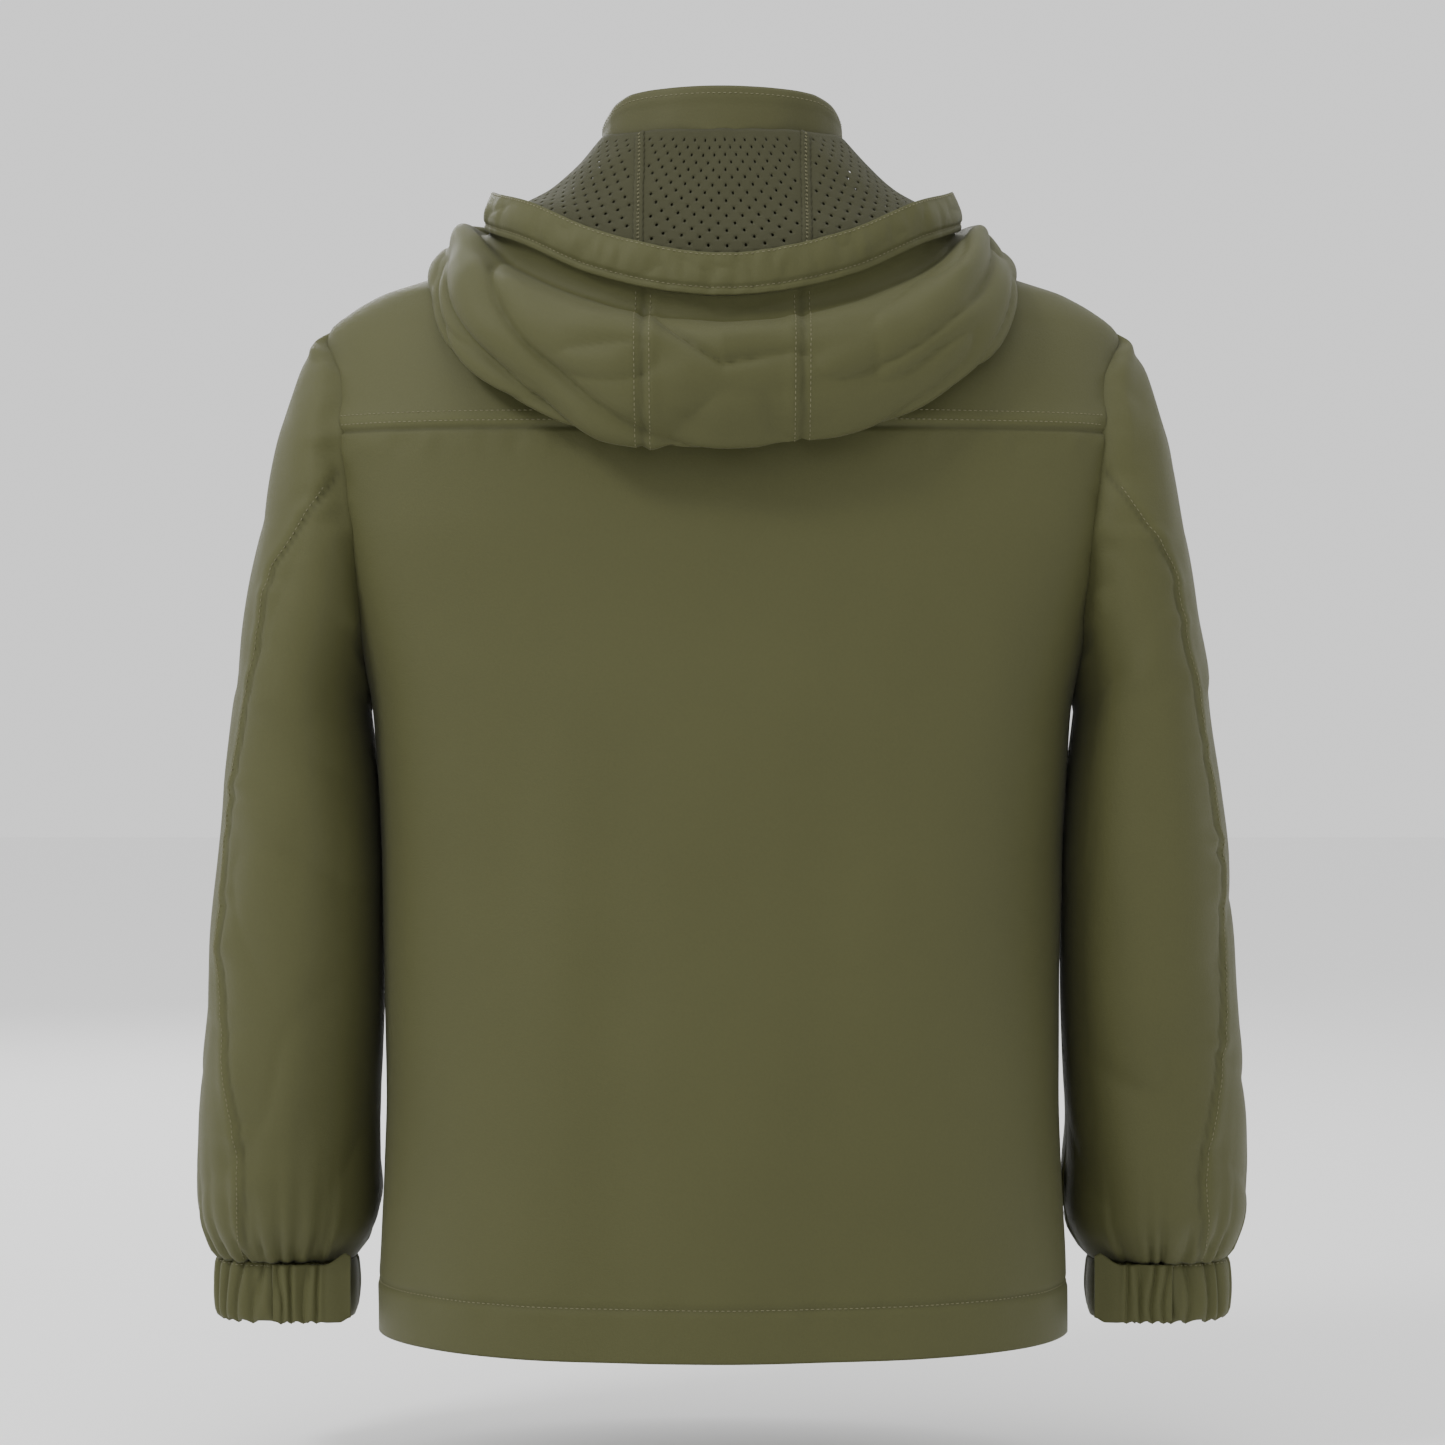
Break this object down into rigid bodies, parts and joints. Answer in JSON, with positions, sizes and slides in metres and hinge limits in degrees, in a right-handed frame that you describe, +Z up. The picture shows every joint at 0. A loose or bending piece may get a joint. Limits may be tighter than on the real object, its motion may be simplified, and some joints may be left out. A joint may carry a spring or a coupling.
{
  "type": "hooded beekeeping jacket",
  "caption": "Lightweight hip-length hooded jacket, hood folded down, stand collar, zipped front, hand pockets and elastic cuffs with closing tabs.",
  "frame": {"origin": "centre of the neck opening, level with the collar's base", "axes": "+Z up, the front faces -Y, +X towards the wearer's left"},
  "size_m": [0.6698, 0.3148, 0.7834],
  "materials": {
    "shell": "woven synthetic taffeta, slight sheen",
    "collar": "woven synthetic taffeta, matt",
    "mesh": "perforated knit",
    "lining": "plain woven pocketing",
    "tape": "woven tape",
    "hook_loop": "napped hook and loop",
    "elastic": "woven elastic",
    "zip_plastic": "moulded"
  },
  "bodies": {
    "body": {"back_panel": "shell", "back_yoke": "shell", "front_panel_left": "shell", "front_panel_right": "shell", "sleeve_top_left": "shell", "sleeve_top_right": "shell", "sleeve_under_left": "shell", "sleeve_under_right": "shell", "elbow_left": "shell", "elbow_right": "shell", "hem_facing_back": "shell", "hem_facing_left": "shell", "hem_facing_right": "shell", "pocket_welt_left": "shell", "pocket_welt_right": "shell", "hood_base": "shell", "collar_outer": "collar", "collar_facing": "collar", "hood_lining_centre": "mesh", "hood_lining_left": "mesh", "hood_lining_right": "mesh", "pocket_bag_left": "lining", "pocket_bag_right": "lining", "zip_tape_left": "tape", "zip_tape_right": "tape", "neck_tape": "tape", "hanger_loop": "tape", "zip_teeth_left": "zip_plastic", "zip_teeth_right": "zip_plastic", "zip_stops": "zip_plastic", "zip_bottom_box": "zip_plastic", "pocket_zip_left": "zip_plastic", "pocket_zip_right": "zip_plastic"},
    "front_slider": {"front_slider": "zip_plastic"},
    "front_pull": {"front_pull": "zip_plastic"},
    "hood": {"hood_shell_centre": "shell", "hood_shell_left": "shell", "hood_shell_right": "shell", "hood_band": "shell", "hood_elastic": "elastic"},
    "pocket_slider_left": {"pocket_slider_left": "zip_plastic"},
    "pocket_pull_left": {"pocket_pull_left": "zip_plastic"},
    "forearm_left": {"forearm_top_left": "shell", "forearm_under_left": "shell", "cuff_casing_left": "shell", "cuff_elastic_left": "elastic", "loop_patch_left": "hook_loop"},
    "cuff_tab_left": {"cuff_tab_left": "shell", "hook_patch_left": "hook_loop"},
    "pocket_slider_right": {"pocket_slider_right": "zip_plastic"},
    "pocket_pull_right": {"pocket_pull_right": "zip_plastic"},
    "forearm_right": {"forearm_top_right": "shell", "forearm_under_right": "shell", "cuff_casing_right": "shell", "cuff_elastic_right": "elastic", "loop_patch_right": "hook_loop"},
    "cuff_tab_right": {"cuff_tab_right": "shell", "hook_patch_right": "hook_loop"}
  },
  "joints": [
    {"name": "front_zip_travel", "type": "slide", "parent": "body", "child": "front_slider", "axis": [0, 0.0864, 0.9963], "range_m": [-0.728, 0]},
    {"name": "front_pull_swing", "type": "hinge", "parent": "front_slider", "child": "front_pull", "pos_m": [0, -0.08493, 0.04397], "axis": [-1, 0, 0], "range_deg": [0, 150]},
    {"name": "pocket_zip_travel_left", "type": "slide", "parent": "body", "child": "pocket_slider_left", "axis": [0, 0.0419, 0.9991], "range_m": [-0.135, 0]},
    {"name": "pocket_pull_swing_left", "type": "hinge", "parent": "pocket_slider_left", "child": "pocket_pull_left", "pos_m": [0.14874, -0.10044, -0.432], "axis": [-0.8952, -0.4452, 0.0187], "range_deg": [0, 120]},
    {"name": "pocket_zip_travel_right", "type": "slide", "parent": "body", "child": "pocket_slider_right", "axis": [0, 0.0419, 0.9991], "range_m": [-0.135, 0]},
    {"name": "pocket_pull_swing_right", "type": "hinge", "parent": "pocket_slider_right", "child": "pocket_pull_right", "pos_m": [-0.14874, -0.10044, -0.432], "axis": [-0.8952, 0.4452, -0.0187], "range_deg": [0, 120]},
    {"name": "elbow_bend_left", "type": "hinge", "parent": "body", "child": "forearm_left", "pos_m": [0.27, -0.006, -0.4], "axis": [-1, 0, 0], "range_deg": [0, 60], "deforming": ["elbow_left"]},
    {"name": "cuff_tab_open_left", "type": "hinge", "parent": "forearm_left", "child": "cuff_tab_left", "pos_m": [0.285, 0.018, -0.681], "axis": [0, 0, -1], "range_deg": [0, 70]},
    {"name": "elbow_bend_right", "type": "hinge", "parent": "body", "child": "forearm_right", "pos_m": [-0.27, -0.006, -0.4], "axis": [-1, 0, 0], "range_deg": [0, 60], "deforming": ["elbow_right"]},
    {"name": "cuff_tab_open_right", "type": "hinge", "parent": "forearm_right", "child": "cuff_tab_right", "pos_m": [-0.285, 0.018, -0.681], "axis": [0, 0, 1], "range_deg": [0, 70]},
    {"name": "hood_lift", "type": "hinge", "parent": "body", "child": "hood", "pos_m": [0, -0.062, 0], "axis": [1, 0, 0], "range_deg": [0, 60], "deforming": ["hood_lining_centre", "hood_lining_left", "hood_lining_right", "hood_base"]}
  ]
}
